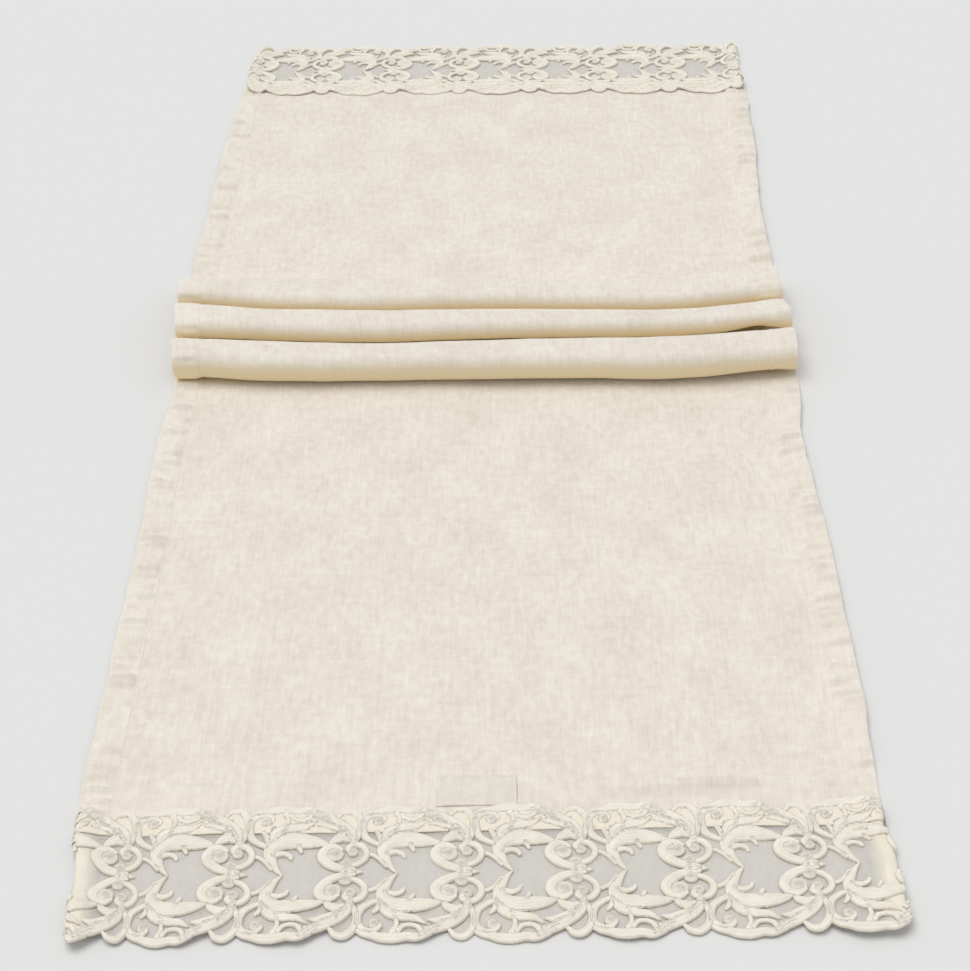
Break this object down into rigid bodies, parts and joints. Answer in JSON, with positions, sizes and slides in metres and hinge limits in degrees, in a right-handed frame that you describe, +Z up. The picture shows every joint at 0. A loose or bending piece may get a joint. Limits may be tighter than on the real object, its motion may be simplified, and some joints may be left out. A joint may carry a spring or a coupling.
{
  "type": "table runner",
  "caption": "Linen table runner laid flat with soft cross pleats, hemmed sides, a scalloped cutwork lace border at each short end and a sewn-on cloth label.",
  "frame": {"origin": "centre of the laid runner's bounding box, on the surface it lies on", "axes": "+Y along the runner's length towards the far border, +X across its width, +Z up"},
  "size_m": [0.5106, 1.1451, 0.0308],
  "materials": {
    "linen": "plain woven linen, natural slub, matt",
    "lace": "dense satin-stitch cord embroidery, soft sheen",
    "organza": "sheer plain-woven organza",
    "label": "smooth woven cotton tape",
    "thread": "twisted sewing thread"
  },
  "bodies": {
    "root": {"end_hem_far": "linen", "end_hem_near": "linen", "hem_left": "linen", "hem_right": "linen", "hem_thread_left": "thread", "hem_thread_right": "thread", "label": "label", "label_stitches": "thread", "lace_far": "lace", "lace_near": "lace", "lace_seam_far": "thread", "lace_seam_near": "thread", "linen_panel": "linen", "organza_far": "organza", "organza_near": "organza"}
  },
  "joints": []
}
